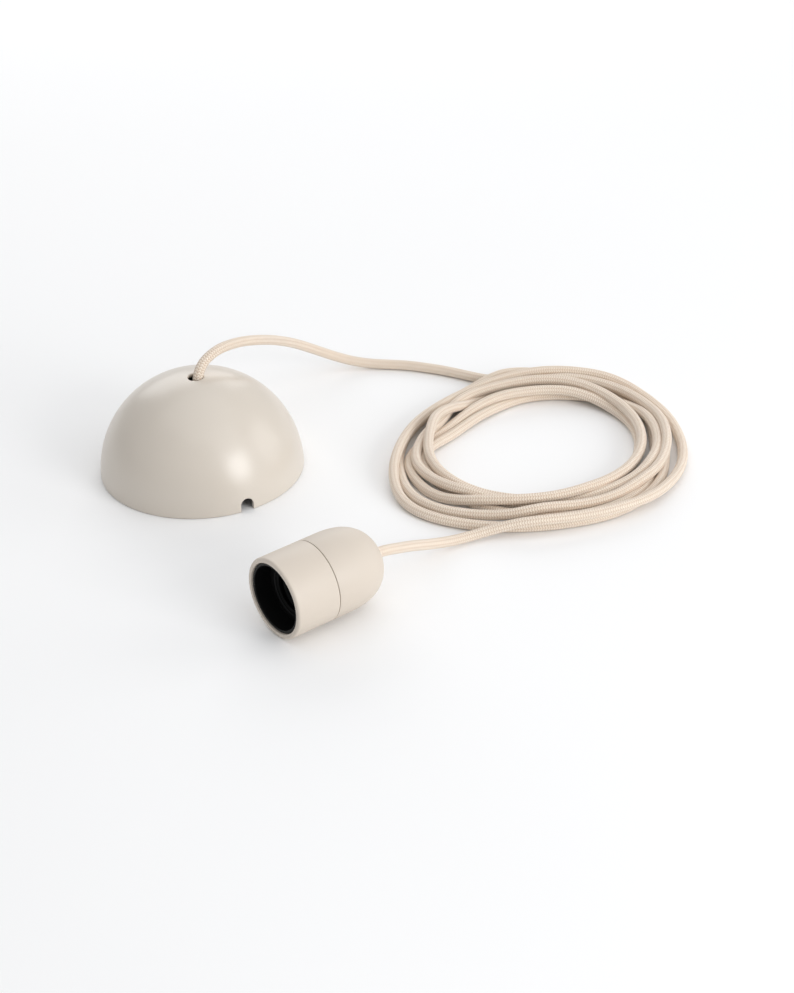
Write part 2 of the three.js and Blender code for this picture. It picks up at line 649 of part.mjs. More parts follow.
// The threaded ring: its bore is a rounded screw thread, made as one closed grid of points whose
// radius swings once for each pitch along the axis and shifts by one pitch for each turn round it
function threadRing() {
  const outer = linerBore - FIT;
  const stepsPerPitch = 6;
  const middle = (THREAD_CREST_RADIUS + THREAD_ROOT_RADIUS) / 2;
  const depth = (THREAD_ROOT_RADIUS - THREAD_CREST_RADIUS) / 2;
  const rows = Math.round((THREAD_END - THREAD_START) / THREAD_PITCH * stepsPerPitch);
  const fade = (z) => Math.min(1, (z - THREAD_START) / THREAD_FADE, (THREAD_END - z) / THREAD_FADE);
  const bore = Array.from({ length: rows + 1 }, (_, i) => {
    const z = THREAD_END + (THREAD_START - THREAD_END) * i / rows;
    return (turn) => {
      const wave = Math.cos(2 * Math.PI * (z / THREAD_PITCH - turn));
      return [middle - depth * (1 - fade(z)) + depth * wave * fade(z), z];
    };
  });
  const fixed = (r, z) => () => [r, z];
  const mouth = arc(RING_MOUTH_RADIUS, THREAD_START - 0.4, THREAD_START - 0.4 - RING_FRONT, 180, 270, 2)
    .map(([r, z]) => fixed(r, z));
  const section = [
    ...bore, ...mouth, fixed(outer, RING_FRONT), fixed(outer, RING_END),
    fixed(THREAD_ROOT_RADIUS + 0.6, RING_END), fixed(THREAD_ROOT_RADIUS + 0.6, THREAD_END + 0.5),
  ];
  return closed(ringGrid(section, HOLDER_FACETS));
}

// A closed ring of quads: every section point is a function of the turn round the axis, 0 to 1
function ringGrid(section, facets) {
  const positions = [];
  for (let j = 0; j < facets; j++) {
    const turn = j / facets;
    const angle = turn * Math.PI * 2;
    for (const place of section) {
      const [r, z] = place(turn);
      positions.push(r * Math.cos(angle), r * Math.sin(angle), z);
    }
  }
  const count = section.length;
  const index = [];
  for (let j = 0; j < facets; j++) {
    for (let i = 0; i < count; i++) {
      const a = j * count + i;
      const b = j * count + (i + 1) % count;
      const c = ((j + 1) % facets) * count + i;
      const d = ((j + 1) % facets) * count + (i + 1) % count;
      index.push(a, c, b, b, c, d);
    }
  }
  const geometry = new THREE.BufferGeometry();
  geometry.setAttribute('position', new THREE.Float32BufferAttribute(positions, 3));
  geometry.setIndex(index);
  return geometry;
}

// Contact block with the slots that the two contacts pass through and the screws' wells

const contacts = {
  centre: { offset: CENTRE_CONTACT_OFFSET, tip: CENTRE_CONTACT_TIP, side: 1 },
  side: { offset: SIDE_CONTACT_OFFSET, tip: SIDE_CONTACT_TIP, side: -1 },
};
const tabFloor = BLOCK_FLANGE_END + FIT;
const contactScrewAt = ({ offset, side }) => side * (offset + CONTACT_TAB_LENGTH / 2 + 0.4);

function contactBlock() {
  const nose = LINER_SHOULDER_RADIUS - FIT;
  const flangeFloor = LINER_END + FIT;
  const body = turnedSolid([
    [0, BLOCK_NOSE_FRONT], [nose - FIT, BLOCK_NOSE_FRONT], [nose, BLOCK_NOSE_FRONT + FIT],
    [nose, flangeFloor], [BLOCK_FLANGE_RADIUS, flangeFloor],
    [BLOCK_FLANGE_RADIUS, BLOCK_FLANGE_END - 0.6], [BLOCK_FLANGE_RADIUS - 0.6, BLOCK_FLANGE_END],
    [0, BLOCK_FLANGE_END],
  ], 32);
  const tools = Object.values(contacts).flatMap((contact) => [
    block(CONTACT_THICKNESS + 2 * FIT, CONTACT_WIDTH + 2 * FIT, 20)
      .translate(contact.side * contact.offset, 0, BLOCK_NOSE_FRONT - 5),
    bar(CONTACT_SCREW_SHANK / 2 + FIT, BLOCK_FLANGE_END - CONTACT_SCREW_LENGTH, BLOCK_FLANGE_END + 1)
      .translate(contactScrewAt(contact), 0, 0),
  ]);
  return cut(body, ...tools);
}

// A brass strip: a tongue in the socket, a leg through the block and a tab on the block's back
function contactStrip(corners, contact) {
  const tabZ = tabFloor + CONTACT_THICKNESS / 2;
  const x = contact.side * contact.offset;
  const tab = [point(x, tabZ), point(x + contact.side * CONTACT_TAB_LENGTH, tabZ)];
  const strip = bentStrip([...corners, ...tab], 0.6, CONTACT_THICKNESS, CONTACT_WIDTH);
  const hole = bar(CONTACT_SCREW_SHANK / 2 + FIT, tabFloor - 1, tabFloor + 2)
    .translate(contactScrewAt(contact), 0, 0);
  return cut(strip, hole);
}

function centreContact() {
  const { offset, tip } = contacts.centre;
  const foot = BLOCK_NOSE_FRONT - FIT - CONTACT_THICKNESS / 2;
  return contactStrip([
    point(-offset * 0.55, tip + 1.3), point(-1.2, tip), point(1.2, tip), point(offset, foot - 0.6),
  ], contacts.centre);
}

function sideContact() {
  const { offset, tip, side } = contacts.side;
  return contactStrip([point(side * (offset - 0.7), tip), point(side * offset, tip + 1.6)],
    contacts.side);
}

function contactScrew(contact) {
  const seat = tabFloor + CONTACT_THICKNESS + FIT;
  return screw(CONTACT_SCREW_HEAD, CONTACT_SCREW_HEAD_HEIGHT, CONTACT_SCREW_SHANK,
    CONTACT_SCREW_LENGTH).translate(contactScrewAt(contact), 0, seat);
}

// Cord lock: a collar that bears on the cap's inside round the cord hole, with a clamping screw

const capInnerDepth = HOLDER_LENGTH - CAP_CURVE_START - CAP_WALL;
const lockTop = lockSeat();
const lockBottom = lockTop - LOCK_LENGTH;

// Height at which the collar's edge rests inside the cap's curve
function lockSeat() {
  const power = CAP_CURVE_POWER;
  const share = (LOCK_RADIUS / (HOLDER_RADIUS - CAP_WALL)) ** power;
  return CAP_CURVE_START + capInnerDepth * (1 - share) ** (1 / power) - 2 * FIT;
}

function cordLock() {
  const chamfer = 0.6;
  const bore = CORD_DIAMETER / 2 + FIT;
  const body = turned([
    [bore, lockBottom], [LOCK_RADIUS - chamfer, lockBottom], [LOCK_RADIUS, lockBottom + chamfer],
    [LOCK_RADIUS, lockTop], [bore, lockTop],
  ], 24);
  const hole = bar(LOCK_SCREW_DIAMETER / 2 + FIT, 0, LOCK_RADIUS + 1)
    .rotateY(Math.PI / 2).translate(0, 0, lockBottom + LOCK_LENGTH / 2);
  return cut(body, hole);
}

function lockScrew() {
  return grubScrew(LOCK_SCREW_DIAMETER, LOCK_SCREW_LENGTH)
    .rotateY(Math.PI / 2)
    .translate(CORD_DIAMETER / 2 + FIT, 0, lockBottom + LOCK_LENGTH / 2);
}

const holderSheathEnd = lockBottom - SHEATH_PAST_LOCK;

function holderCordEnd() {
  return along([
    [0, 0, holderSheathEnd], [0, 0, lockBottom], [0, 0, lockTop], [0, 0, HOLDER_LENGTH - FIT],
  ], CORD_DIAMETER, 5);
}

// A wire from the cord's end to its contact's screw, ending beside the shank under the head
function holderWire(contact) {
  const { side } = contact;
  const x = contactScrewAt(contact);
  const rest = tabFloor + CONTACT_THICKNESS + WIRE_DIAMETER / 2 + FIT;
  const beside = x - side * (CONTACT_SCREW_HEAD / 2 + WIRE_DIAMETER / 2 + FIT);
  return along([
    [side * WIRE_SPREAD, 0, holderSheathEnd - FIT], [side * WIRE_SPREAD, 0, holderSheathEnd - 2],
    [side * (WIRE_SPREAD + 1.2), 0, (holderSheathEnd + rest) / 2 + 0.8],
    [beside - side * 0.4, 0, rest + 2.6], [beside, 0, rest + 0.2],
  ], WIRE_DIAMETER, 2, WIRE_FACETS);
}

// The free cord

// The coil's ring, or the same ring grown all round by a clearance
function coilRing(grown = 0) {
  const radius = COIL_CORNER + grown;
  const [inner, outer] = [COIL_INNER + COIL_CORNER, COIL_OUTER - COIL_CORNER];
  const [low, high] = [COIL_CORNER, COIL_HEIGHT - COIL_CORNER];
  return turned([
    ...arc(inner, low, radius, 180, 270, 2), ...arc(outer, low, radius, -90, 0, 2),
    ...arc(outer, high, radius, 0, 90, 2), ...arc(inner, high, radius, 90, 180, 2),
  ], COIL_FACETS)
    .scale(COIL_SQUASH, 1, 1)
    .rotateZ(radians(COIL_TURN))
    .translate(COIL_CENTRE[0], COIL_CENTRE[1], 0);
}

// A free length of cord along its route, never lower than the table, that stops short of the coil
function freeLength(route) {
  const lowest = CORD_DIAMETER / 2;
  const raised = route.map(([x, y, z]) => [x, y, Math.max(z, lowest)]);
  return cut(along(raised, CORD_DIAMETER, FREE_CORD_STEP), coilRing(FIT));
}

function cordToHolder() {
  const start = HOLDER_LEAD[0][2];
  const end = HOLDER_MOUTH[0] + HOLDER_LENGTH;
  return freeLength(HOLDER_LEAD.map(([x, y, z]) =>
    [end + x, HOLDER_MOUTH[1] + y, z + (HOLDER_RADIUS - start) * z / start]));
}

// Assembly

const canopy = new THREE.Group();
canopy.add(
  piece('canopy_dome', canopyDome(), FINISH.shell),
  piece('mounting_strap', mountingStrap(), FINISH.steel),
  piece('grip_bracket', gripBracket(), FINISH.steel),
  piece('cord_grip', cordGrip(), FINISH.nylon),
  piece('grip_nut', gripNut(), FINISH.nylon),
  piece('grip_screw', gripScrew(), FINISH.nylon),
  piece('terminal_block', terminalBlock(), FINISH.white),
  piece('block_screw', blockScrew(), FINISH.steel),
  piece('canopy_cord_end', canopyCordEnd(), FINISH.textile),
);
bracketScrewPlaces().forEach((x, i) => {
  canopy.add(piece(`bracket_screw_${i + 1}`, bracketScrew(x), FINISH.steel));
});
poles.forEach((x, i) => {
  const colour = i ? 'blue' : 'brown';
  canopy.add(piece(`terminal_tube_${colour}`, terminalTube(x), FINISH.brass));
  canopy.add(piece(`canopy_wire_${colour}`, canopyWire(x), FINISH[colour]));
  screwRows.forEach((y, k) => {
    canopy.add(piece(`terminal_screw_${colour}_${k + 1}`, terminalScrew(x, y), FINISH.steel));
  });
});

const holder = new THREE.Group();
holder.add(
  piece('holder_sleeve', holderSleeve(), FINISH.shell),
  piece('holder_cap', holderCap(), FINISH.shell),
  piece('holder_liner', holderLiner(), FINISH.black),
  piece('thread_ring', threadRing(), FINISH.black),
  piece('contact_block', contactBlock(), FINISH.black),
  piece('centre_contact', centreContact(), FINISH.brass),
  piece('side_contact', sideContact(), FINISH.brass),
  piece('contact_screw_centre', contactScrew(contacts.centre), FINISH.steel),
  piece('contact_screw_side', contactScrew(contacts.side), FINISH.steel),
  piece('cord_lock', cordLock(), FINISH.nylon),
  piece('lock_screw', lockScrew(), FINISH.steel),
  piece('holder_cord_end', holderCordEnd(), FINISH.textile),
  piece('holder_wire_brown', holderWire(contacts.centre), FINISH.brown),
  piece('holder_wire_blue', holderWire(contacts.side), FINISH.blue),
);
holder.rotation.y = Math.PI / 2;
holder.position.set(HOLDER_MOUTH[0], HOLDER_MOUTH[1], HOLDER_RADIUS);

const freeCord = new THREE.Group();
freeCord.add(
  piece('cord_to_canopy', freeLength(canopyRoute()), FINISH.textile),
  piece('cord_coil', coilRing(), FINISH.textile),
  piece('cord_to_holder', cordToHolder(), FINISH.textile),
);

const pendantCordSet = new THREE.Group();
pendantCordSet.name = 'pendant_cord_set';
pendantCordSet.add(canopy, holder, freeCord);

export default pendantCordSet;
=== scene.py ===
"""A pendant cord set on a pale table: a half-ball ceiling canopy, its long textile cord in a loose
coil, and the bulb holder on its side at the cord's end. Sizes are in millimetres unless a name
says otherwise, and the origin is the centre of the canopy's base."""

import math

import bmesh
import bpy
import numpy as np
from mathutils import Matrix, Vector


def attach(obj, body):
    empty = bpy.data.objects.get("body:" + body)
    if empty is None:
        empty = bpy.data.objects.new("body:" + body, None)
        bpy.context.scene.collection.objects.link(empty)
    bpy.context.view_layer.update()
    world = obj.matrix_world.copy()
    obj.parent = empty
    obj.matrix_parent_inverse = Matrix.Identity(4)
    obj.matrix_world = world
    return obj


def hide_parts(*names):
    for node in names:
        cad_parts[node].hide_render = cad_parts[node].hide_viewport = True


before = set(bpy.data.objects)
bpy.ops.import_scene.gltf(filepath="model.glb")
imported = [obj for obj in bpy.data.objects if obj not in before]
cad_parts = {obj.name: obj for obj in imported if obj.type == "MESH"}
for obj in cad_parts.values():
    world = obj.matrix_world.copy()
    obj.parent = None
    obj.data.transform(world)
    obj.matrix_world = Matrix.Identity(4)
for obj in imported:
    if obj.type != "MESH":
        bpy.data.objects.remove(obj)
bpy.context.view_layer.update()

MM = 0.001

# Photograph: its size and the camera's focal length in pixels, then where the camera stood in
# metres and by how many degrees it was turned, tipped down and rolled
PHOTO = (794, 993)
FOCAL = 2493.3
CAMERA_PLACE = (-0.6774, -1.0856, 0.7440)
CAMERA_TURN = 37.085
CAMERA_PITCH = 31.138
CAMERA_ROLL = 2.047

# Cord: its thickness, the flats round its drawn tube, and the spacing of the points along its
# route while it settles and when it is drawn
CORD = 6.0
CORD_SIDES = 20
ROUTE_STEP = 6.0
DRAWN_STEP = 2.5
SETTLING_ROUNDS = 24

# Route of the cord from the canopy's hole down to the table, within about 2 mm of the CAD part's
CANOPY_LEAD = [
    (0.3, -0.5, 50.5), (0.5, -0.7, 54.5), (1.1, -0.6, 58.5), (2.4, -0.2, 61.8), (4.5, 0.5, 64.4),
    (7.2, 1.1, 66.5), (10.4, 1.7, 68), (14, 2.3, 69), (18.2, 3.1, 69.6), (26.6, 4.7, 69.2),
    (35.6, 6.5, 67.5), (44.6, 9, 64.5), (52.7, 12.6, 60.7), (66, 22.3, 52.4), (78, 31.8, 44.3),
    (89.5, 39.2, 36.7), (101.4, 44.5, 29), (113.4, 46.5, 21.1), (124.9, 45.2, 13.7),
    (135.7, 40.7, 7.7), (146.2, 33.6, 4), (156.3, 24.3, 3), (165.8, 13.8, 3), (173.4, 2.4, 3),
    (179.3, -7.4, 3), (184.4, -18.8, 3), (189.4, -30, 3),
]

# Route of the cord from the coil to the holder's cap, within about 2 mm of the CAD part's: the
# first distance is from the cap's end, the second from the holder's axis and the third the height
HOLDER_LEAD = [
    (-8, 0, 23), (-4, 0, 23), (0.3, 0, 23), (4.1, 0, 22.8), (8.6, 0.2, 22), (18.1, 1.1, 19.1),
    (27.4, 2.4, 15.9), (35.4, 3.7, 12.6), (42.4, 4.9, 9.7), (48.4, 5.8, 7.4), (53.9, 6.2, 5.7),
    (58.9, 6.1, 4.5), (63.6, 5.6, 4), (68.1, 4.7, 3.8), (72.4, 3.5, 3.8), (76.3, 2.2, 4),
    (80, 0.8, 4.5), (83.7, -1.1, 5.3), (87.8, -3.7, 6.7), (92.3, -7.2, 8),
]

# The cord's ends inside the canopy and, as distances from its mouth, inside the holder
CANOPY_CORD_END = [
    (0, 0, 23.8), (0, 0, 33), (0, 0, 40), (0, -0.1, 43.5), (0.2, -0.4, 47.5), (0.3, -0.5, 50.2),
]
HOLDER_CORD_END = (52.5, 58.3)

# The coil: for every turn, twelve distances from the coil's middle and twelve heights of the
# cord's centre, clockwise from above and 30 degrees apart
COIL_MIDDLE = (158.0, -118.0)
COIL_START = 60
COIL_STEP = 30
COIL_REACH = [
    84, 82, 80.5, 71.5, 72.5, 80, 78, 73.5, 68.5, 69, 53.5, 51,
    60.5, 68.5, 73.5, 72.5, 71, 66.5, 63.5, 67.5, 72.5, 71.5, 62, 67.5,
    70, 71, 67, 63, 62, 61.5, 65.5, 72.5, 78.5, 74.5, 58.5, 56.5,
    59.5, 64, 65.5, 62, 59.5, 58.5, 58.5, 60.5, 65.5, 64, 63, 65,
    77.5, 80.5, 79.5, 76.5, 76.5, 74.5, 75.5, 82.5, 89, 81.5, 77.5, 78,
    86, 87.5, 85, 76.3, 78, 85, 85.5, 91.5, 97, 82.5, 74, 74,
    79, 88, 90, 86.3, 87.5, 88, 88.5,
]
COIL_RISE = [
    3.5, 3, 3, 3, 3, 3.5, 3, 3, 3.5, 5, 3, 4,
    3, 3, 5, 9, 7.5, 6, 4, 5.5, 8.5, 6, 7.5, 7.5,
    10, 11, 8.5, 9, 8.5, 8.5, 9.5, 9, 3, 4.5, 3, 6.5,
    8, 8.5, 3.5, 3, 3, 3, 3, 4, 7, 10, 12, 6,
    3, 8, 8, 10.5, 8.5, 6.5, 7, 5, 3, 4, 3, 3,
    7.5, 4, 3.5, 4, 3, 4, 3, 3, 3, 8.5, 8.5, 7,
    9.5, 8, 3, 3, 4.5, 6.5, 8.5,
]

# Canopy
CANOPY_RADIUS = 60.0
CANOPY_WALL = 2.0
CANOPY_HOLE = 9.0
HOLE_ROUND = 0.6
RIM_ROUND = 0.4
BEAD_HEIGHT = 8.0
BEAD_WIDTH = 3.2
BEAD_DEPTH = 1.1
NOTCH_WIDTH = 8.0
NOTCH_HEIGHT = 7.8
NOTCH_ANGLE = -98.7

# Bulb holder, along its axis from its mouth
HOLDER_MOUTH = (-71.2, -172.7, 23.0)
HOLDER_RADIUS = 23.0
HOLDER_LENGTH = 66.6
HOLDER_SEAM = 27.0
SEAM_GAP = 0.4
SEAM_ROUND = 0.25
SLEEVE_BORE = 20.2
MOUTH_ROUND = 1.4
MOUTH_INNER_ROUND = 0.4
CAP_CURVE_START = 38.1
CAP_CURVE_POWER = 2.47
CAP_WALL = 2.5
CAP_HOLE = 3.5
LINER_RECESS = 0.9
LINER_LIP_ROUND = 0.5
LINER_WALL = 1.6
LINER_SHOULDER = 15.2
LINER_END = 34.0
RING_FRONT = 11.0
RING_END = 28.0
RING_MOUTH = 14.9
THREAD_START = 12.4
THREAD_END = 26.4
THREAD_PITCH = 3.629
THREAD_CREST = 12.35
THREAD_ROOT = 13.45
THREAD_FADE = 1.8
FIT = 0.3


# Shader sums

class Value:
    """A number that changes over a surface, on which ordinary sums add Math nodes."""

    def __init__(self, finish, socket):
        self.finish = finish
        self.socket = socket

    def sum(self, operation, *others):
        return self.finish.add(
            "ShaderNodeMath", {"operation": operation}, {i: v for i, v in enumerate(others)}
        )

    def __add__(self, other):
        return self.sum("ADD", self, other)

    def __radd__(self, other):
        return self.sum("ADD", other, self)

    def __sub__(self, other):
        return self.sum("SUBTRACT", self, other)

    def __rsub__(self, other):
        return self.sum("SUBTRACT", other, self)

    def __mul__(self, other):
        return self.sum("MULTIPLY", self, other)

    def __rmul__(self, other):
        return self.sum("MULTIPLY", other, self)

    def __pow__(self, other):
        return self.sum("POWER", self, other)

    def __abs__(self):
        return self.sum("ABSOLUTE", self)

    def floor(self):
        return self.sum("FLOOR", self)

    def fraction(self):
        return self.sum("FRACT", self)


class Finish:
    """A material under construction, with one surface shader and its output."""

    def __init__(self, name, **plain):
        self.material = bpy.data.materials.new(name)
        self.material.use_nodes = True
        self.tree = self.material.node_tree
        self.tree.nodes.clear()
        self.shader = self.tree.nodes.new("ShaderNodeBsdfPrincipled")
        output = self.tree.nodes.new("ShaderNodeOutputMaterial")
        self.tree.links.new(self.shader.outputs[0], output.inputs["Surface"])
        for socket, value in plain.items():
            self.shader.inputs[socket.replace("_", " ")].default_value = value

    def add(self, kind, settings=None, values=None, output=0):
        """Adds a node, its settings first, then the values or links of its sockets."""
        node = self.tree.nodes.new(kind)
        for name, setting in (settings or {}).items():
            setattr(node, name, setting)
        for key, value in (values or {}).items():
            self.feed(self.find(node.inputs, key), value)
        return Value(self, self.find(node.outputs, output))

    @staticmethod
    def find(sockets, key):
        """A socket by its number, its identifier or its name."""
        if isinstance(key, int):
            return sockets[key]
        for socket in sockets:
            if socket.identifier == key:
                return socket
        return sockets[key]

    def feed(self, socket, value):
        if isinstance(value, Value):
            self.tree.links.new(value.socket, socket)
        else:
            socket.default_value = value

    def set(self, socket, value):
        self.feed(self.shader.inputs[socket], value)

    def place(self):
        """The place on the object in metres."""
        return self.add("ShaderNodeTexCoord", output="Object")

    def noise(self, place, scale, detail):
        return self.add(
            "ShaderNodeTexNoise", {"noise_dimensions": "3D"},
            {"Vector": place, "Scale": scale, "Detail": detail},
        )

    def blend(self, share, first, second):
        """A colour between two colours."""
        return self.add(
            "ShaderNodeMix", {"data_type": "RGBA"},
            {"Factor_Float": share, "A_Color": first, "B_Color": second}, "Result_Color",
        )

    def relief(self, height, depth_mm):
        """Feeds a bump of 0 to 1 height and a real depth to the surface."""
        bump = self.add(
            "ShaderNodeBump", None, {"Strength": 1.0, "Distance": depth_mm * MM, "Height": height},
            "Normal",
        )
        self.set("Normal", bump)


def colour(red, green, blue):
    """A colour from screen values of 0 to 255."""
    linear = [
        c / 12.92 if c <= 0.04045 else ((c + 0.055) / 1.055) ** 2.4
        for c in (red / 255, green / 255, blue / 255)
    ]
    return (*linear, 1.0)


# Finishes

def shell_paint(name, tone, roughness, shine):
    """Fine satin powder coat: a faint orange peel and slow, slight changes of tone."""
    finish = Finish(name, Specular_IOR_Level=shine)
    place = finish.place()
    peel = finish.noise(place, 900, 3)
    drift = finish.noise(place, 25, 2)
    speck = finish.noise(place, 3200, 1)
    deep = colour(*(c * 0.985 for c in tone))
    pale = colour(*(min(255, c * 1.01) for c in tone))
    finish.set("Base Color", finish.blend(drift * 0.7 + speck * 0.3, deep, pale))
    finish.set("Roughness", roughness - 0.04 + 0.08 * peel)
    finish.relief(peel * 0.7 + speck * 0.3, 0.02)
    return finish.material


def woven_textile():
    """A plaited sleeve: columns of slanted stitches along the cord, each slanting against the
    next, read from the tube's own map of turns round it and metres along it. Where two columns
    lean towards each other, their stitches meet in a row of raised beads. The colour is painted
    darker as the weave's height falls, as painted shade in the hollows between stitches, so the
    raised beads come out paler."""
    columns, stitch_mm, slant = 16, 1.5, 0.55
    finish = Finish("woven_textile", Roughness=0.85, Sheen_Weight=0.25, Sheen_Roughness=0.5)
    uv = finish.add("ShaderNodeUVMap", {"uv_map": "UVMap"})
    around = finish.add("ShaderNodeSeparateXYZ", None, {0: uv}, "X")
    metres = finish.add("ShaderNodeSeparateXYZ", None, {0: uv}, "Y")
    column = around * columns
    pair = (column * 0.5).fraction()
    lean = 2.0 * (2.0 * pair).floor() - 1.0
    across = column.fraction() - 0.5
    along = metres * (1000 / stitch_mm) + lean * across * slant
    ridge = (1.0 - abs(2.0 * pair - 1.0)) ** 2.0
    hump_along = 1.0 - abs(2.0 * along.fraction() - 1.0) ** 1.8
    hump_across = 1.0 - (abs(2.0 * across) ** 3.0) * (0.7 - 0.7 * ridge)
    height = hump_along * hump_across * (0.7 + 0.3 * ridge)
    stitch = finish.add(
        "ShaderNodeCombineXYZ", None, {0: column.floor(), 1: along.floor(), 2: 0.0}
    )
    chance = finish.add("ShaderNodeTexWhiteNoise", {"noise_dimensions": "3D"}, {0: stitch})
    place = finish.place()
    fuzz = finish.noise(place, 2500, 2)
    drift = finish.noise(place, 18, 2)
    # Painted shade: the colour runs from the yarn's tone down to a shaded brown as the stitch height
    # falls into the hollows between stitches; the bump below uses the same height.
    painted_groove_shade = colour(196, 168, 143)
    yarn = finish.blend(chance * 0.6 + drift * 0.4, colour(247, 234, 217), colour(255, 246, 232))
    finish.set("Base Color", finish.blend(height ** 0.7, painted_groove_shade, yarn))
    finish.relief(height * 0.85 + fuzz * 0.15, 0.35)
    return finish.material


def black_plastic():
    """Moulded black plastic of low gloss: a fine grain and faint wear."""
    finish = Finish("black_plastic", Specular_IOR_Level=0.14)
    place = finish.place()
    grain = finish.noise(place, 1400, 2)
    wear = finish.noise(place, 90, 3)
    deep = (0.0025, 0.0025, 0.0025, 1)
    pale = (0.006, 0.006, 0.006, 1)
    finish.set("Base Color", finish.blend(wear, deep, pale))
    finish.set("Roughness", 0.36 + 0.12 * grain)
    finish.relief(grain, 0.01)
    return finish.material


def plated_steel():
    """Zinc-plated strip: fine rolling lines and a cloudy bloom."""
    finish = Finish("plated_steel", Metallic=1.0)
    place = finish.place()
    stretched = finish.add(
        "ShaderNodeVectorMath", {"operation": "MULTIPLY"}, {0: place, 1: (60, 2500, 2500)}, "Vector"
    )
    lines = finish.noise(stretched, 1.0, 3)
    bloom = finish.noise(place, 140, 3)
    finish.set("Base Color", finish.blend(bloom, colour(172, 174, 178), colour(206, 207, 208)))
    finish.set("Roughness", 0.24 + 0.22 * lines)
    finish.relief(lines, 0.006)
    return finish.material


def bare_brass():
    """Brass with duller clouds and fine scratches."""
    finish = Finish("bare_brass", Metallic=1.0)
    place = finish.place()
    dull = finish.noise(place, 220, 4)
    scratch = finish.noise(place, 1800, 2)
    finish.set("Base Color", finish.blend(dull, colour(206, 168, 96), colour(178, 138, 72)))
    finish.set("Roughness", 0.22 + 0.25 * dull)
    finish.relief(scratch, 0.004)
    return finish.material


def moulded_plastic(name, dark, light, roughness):
    """Moulded insulation or nylon: a fine grain and a faint cloudiness."""
    finish = Finish(name, Roughness=roughness)
    place = finish.place()
    cloud = finish.noise(place, 130, 3)
    grain = finish.noise(place, 1700, 2)
    finish.set("Base Color", finish.blend(cloud, colour(*dark), colour(*light)))
    finish.set("Roughness", roughness - 0.05 + 0.1 * grain)
    finish.relief(grain, 0.012)
    return finish.material


# Shapes

def object_from(name, mesh, material):
    obj = bpy.data.objects.new(name, mesh)
    bpy.context.scene.collection.objects.link(obj)
    mesh.materials.clear()
    mesh.materials.append(material)
    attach(obj, "root")
    return obj


def mesh_from(name, shape):
    """A mesh with its faces turned outwards, from a shape that is then let go."""
    bmesh.ops.recalc_face_normals(shape, faces=shape.faces)
    mesh = bpy.data.meshes.new(name)
    shape.to_mesh(mesh)
    shape.free()
    return mesh


def turned(sections):
    """A ring in metres from closed outlines of (radius, height) points, one for each of its flats
    round Z."""
    shape = bmesh.new()
    rings = []
    for k, section in enumerate(sections):
        angle = 2 * math.pi * k / len(sections)
        rings.append([
            shape.verts.new((r * MM * math.cos(angle), r * MM * math.sin(angle), z * MM))
            for r, z in section
        ])
    for here, there in zip(rings, rings[1:] + rings[:1]):
        for i in range(len(here)):
            shape.faces.new([here[i - 1], there[i - 1], there[i], here[i]])
    return mesh_from("turned", shape)


def smooth(mesh, crease=35):
    mesh.shade_smooth()
    mesh.set_sharp_from_angle(angle=math.radians(crease))
    return mesh


def arc(r, z, radius, start, end, steps):
    """Points on an arc round [r, z], from one angle to another in degrees."""
    return [
        (r + radius * math.cos(math.radians(start + (end - start) * i / steps)),
         z + radius * math.sin(math.radians(start + (end - start) * i / steps)))
        for i in range(steps + 1)
    ]


def laid_holder():
    """From the holder standing on its mouth to the holder lying on the table."""
    place = Matrix.Translation(Vector(HOLDER_MOUTH) * MM)
    return place @ Matrix.Rotation(math.pi / 2, 4, "Y")


def canopy_shell():
    """The half ball with its rounded rim and hole, and the low bead round its inside."""
    outer = CANOPY_RADIUS
    inner = outer - CANOPY_WALL
    edge = CANOPY_HOLE / 2 + HOLE_ROUND
    pole_out = math.degrees(math.acos(edge / outer))
    pole_in = math.degrees(math.acos(edge / inner))
    low = BEAD_HEIGHT - BEAD_WIDTH / 2
    high = BEAD_HEIGHT + BEAD_WIDTH / 2
    high_angle = math.degrees(math.asin(high / inner))

    def wall(z):
        return math.sqrt(inner * inner - z * z)

    crown = outer * math.sin(math.radians(pole_out)) - HOLE_ROUND
    cellar = inner * math.sin(math.radians(pole_in)) + HOLE_ROUND
    profile = [
        *arc(outer - RIM_ROUND, RIM_ROUND, RIM_ROUND, -90, 0, 4),
        *arc(0, 0, outer, 0.8, pole_out, 72),
        *arc(edge, crown, HOLE_ROUND, 90, 180, 5)[1:],
        *arc(edge, cellar, HOLE_ROUND, 180, 270, 4)[:-1],
        *arc(0, 0, inner, pole_in, high_angle, 60),
        (wall(BEAD_HEIGHT) - BEAD_DEPTH, BEAD_HEIGHT + 0.3),
        (wall(BEAD_HEIGHT) - BEAD_DEPTH, BEAD_HEIGHT - 0.3),
        (wall(low), low), (wall(0.3), 0.3), (wall(0) + 0.3, 0),
    ]
    return turned([profile] * 240)


def notch_cutter():
    """A bar with a round top, through the canopy's wall at the notch."""
    half = NOTCH_WIDTH / 2
    reach = 15
    outline = [(-half, -2), (half, -2), *arc(0, NOTCH_HEIGHT - half, half, 0, 180, 24)]
    shape = bmesh.new()
    near, far = (
        [shape.verts.new((x * MM, y * MM, z * MM)) for x, z in outline]
        for y in (CANOPY_RADIUS - reach, CANOPY_RADIUS + reach)
    )
    shape.faces.new(near)
    shape.faces.new(far)
    for k in range(len(outline)):
        after = (k + 1) % len(outline)
        shape.faces.new([near[k], near[after], far[after], far[k]])
    shape.transform(Matrix.Rotation(math.radians(NOTCH_ANGLE - 90), 4, "Z"))
    return mesh_from("notch", shape)


def without(mesh, cutter):
    """The mesh with the cutter's shape taken out of it."""
    body = bpy.data.objects.new("body", mesh)
    tool = bpy.data.objects.new("tool", cutter)
    for obj in (body, tool):
        bpy.context.scene.collection.objects.link(obj)
    cut = body.modifiers.new("cut", "BOOLEAN")
    cut.operation = "DIFFERENCE"
    cut.solver = "EXACT"
    cut.object = tool
    seen = bpy.context.evaluated_depsgraph_get()
    result = bpy.data.meshes.new_from_object(body.evaluated_get(seen))
    for obj in (body, tool):
        bpy.data.objects.remove(obj)
    return result


